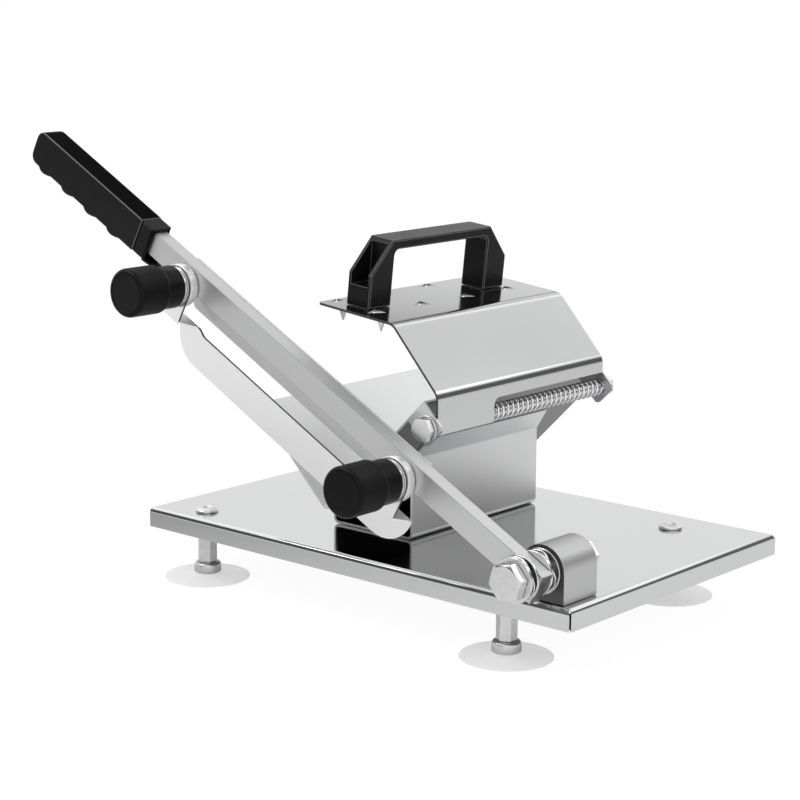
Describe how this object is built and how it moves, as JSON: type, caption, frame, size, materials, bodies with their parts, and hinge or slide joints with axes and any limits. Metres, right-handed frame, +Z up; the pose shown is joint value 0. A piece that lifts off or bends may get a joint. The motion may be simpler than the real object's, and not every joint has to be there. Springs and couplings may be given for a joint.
{
  "type": "hand crank meat slicer",
  "caption": "Hand lever slicer: a blade on a raised arm hinged at the base's corner, a V trough with a sliding toothed press cover on a sprung rod, on suction feet.",
  "frame": {"origin": "middle of the slicer's footprint, on the surface that its suction cups stand on", "axes": "+Z up, +X along the base's long side towards the arm's pivot, +Y from the blade back along the trough"},
  "size_m": [0.4246, 0.2818, 0.2845],
  "materials": {
    "polished_steel": "polished stainless sheet",
    "brushed_steel": "satin stainless steel",
    "blade_steel": "bright ground blade steel",
    "zinc_hardware": "bright plated hardware",
    "chrome": "chromed",
    "black_plastic": "black moulded plastic, slight sheen",
    "clear_cup": "translucent soft vinyl"
  },
  "bodies": {
    "stand": {"base_plate": "polished_steel", "foot_screw_front_left": "chrome", "foot_standoff_front_left": "zinc_hardware", "foot_collar_front_left": "zinc_hardware", "suction_cup_front_left": "clear_cup", "foot_screw_front_right": "chrome", "foot_standoff_front_right": "zinc_hardware", "foot_collar_front_right": "zinc_hardware", "suction_cup_front_right": "clear_cup", "foot_screw_rear_left": "chrome", "foot_standoff_rear_left": "zinc_hardware", "foot_collar_rear_left": "zinc_hardware", "suction_cup_rear_left": "clear_cup", "foot_screw_rear_right": "chrome", "foot_standoff_rear_right": "zinc_hardware", "foot_collar_rear_right": "zinc_hardware", "suction_cup_rear_right": "clear_cup", "stand_channel": "brushed_steel", "v_trough": "brushed_steel", "guide_rod": "zinc_hardware", "rod_washer": "zinc_hardware", "rod_nut": "zinc_hardware", "return_spring": "chrome", "pivot_block": "brushed_steel", "pivot_bolt": "zinc_hardware", "front_washer_outer": "zinc_hardware", "front_wave_washer": "zinc_hardware", "front_washer_inner": "zinc_hardware", "rear_washer_inner": "zinc_hardware", "rear_wave_washer": "zinc_hardware", "rear_washer_outer": "zinc_hardware", "back_washer": "zinc_hardware", "back_nut": "zinc_hardware"},
    "carriage": {"pusher_sleeve": "zinc_hardware"},
    "pusher": {"pusher_plate": "polished_steel", "pusher_handle": "black_plastic", "handle_screw_front": "zinc_hardware", "handle_screw_rear": "zinc_hardware"},
    "arm": {"arm_bar": "brushed_steel", "arm_backing_strip": "brushed_steel", "arm_grip": "black_plastic", "grip_bolster": "black_plastic", "stud_upper": "zinc_hardware", "stud_lower": "zinc_hardware"},
    "blade_group": {"blade": "blade_steel"},
    "nut_upper": {"thickness_nut_upper": "zinc_hardware"},
    "nut_lower": {"thickness_nut_lower": "zinc_hardware"},
    "knob_upper": {"clamp_knob_upper": "black_plastic", "knob_washer_upper": "chrome"},
    "knob_lower": {"clamp_knob_lower": "black_plastic", "knob_washer_lower": "chrome"}
  },
  "joints": [
    {"name": "pusher_slide", "type": "slide", "parent": "stand", "child": "carriage", "axis": [0, 1, 0], "range_m": [0, 0.045], "stiffness_N_per_m": 400, "springref_m": -0.005, "deforming": ["return_spring"]},
    {"name": "pusher_tilt", "type": "hinge", "parent": "carriage", "child": "pusher", "pos_m": [0.10204, -0.03905, 0.12813], "axis": [0, 1, 0], "range_deg": [-22, 110]},
    {"name": "arm_pivot", "type": "hinge", "parent": "stand", "child": "arm", "pos_m": [0.19028, -0.08685, 0.0614], "axis": [0, 1, 0], "range_deg": [-28.2, 61.8]},
    {"name": "blade_feed", "type": "slide", "parent": "arm", "child": "blade_group", "axis": [0, -1, 0], "range_m": [0, 0.005]},
    {"name": "nut_upper_spin", "type": "hinge", "parent": "blade_group", "child": "nut_upper", "pos_m": [-0.07383, -0.09505, 0.19734], "axis": [0, -1, 0], "range_deg": [0, 1440]},
    {"name": "nut_lower_spin", "type": "hinge", "parent": "blade_group", "child": "nut_lower", "pos_m": [0.10155, -0.09505, 0.1033], "axis": [0, -1, 0], "range_deg": [0, 1440]},
    {"name": "knob_upper_spin", "type": "hinge", "parent": "blade_group", "child": "knob_upper", "pos_m": [-0.07383, -0.12105, 0.19734], "axis": [0, -1, 0], "continuous": true},
    {"name": "knob_lower_spin", "type": "hinge", "parent": "blade_group", "child": "knob_lower", "pos_m": [0.10155, -0.12105, 0.1033], "axis": [0, -1, 0], "continuous": true}
  ],
  "couplings": [
    {"joint": "nut_upper_spin", "follows": "blade_feed", "rad_per_m": 5026.5},
    {"joint": "nut_lower_spin", "follows": "blade_feed", "rad_per_m": 5026.5}
  ]
}
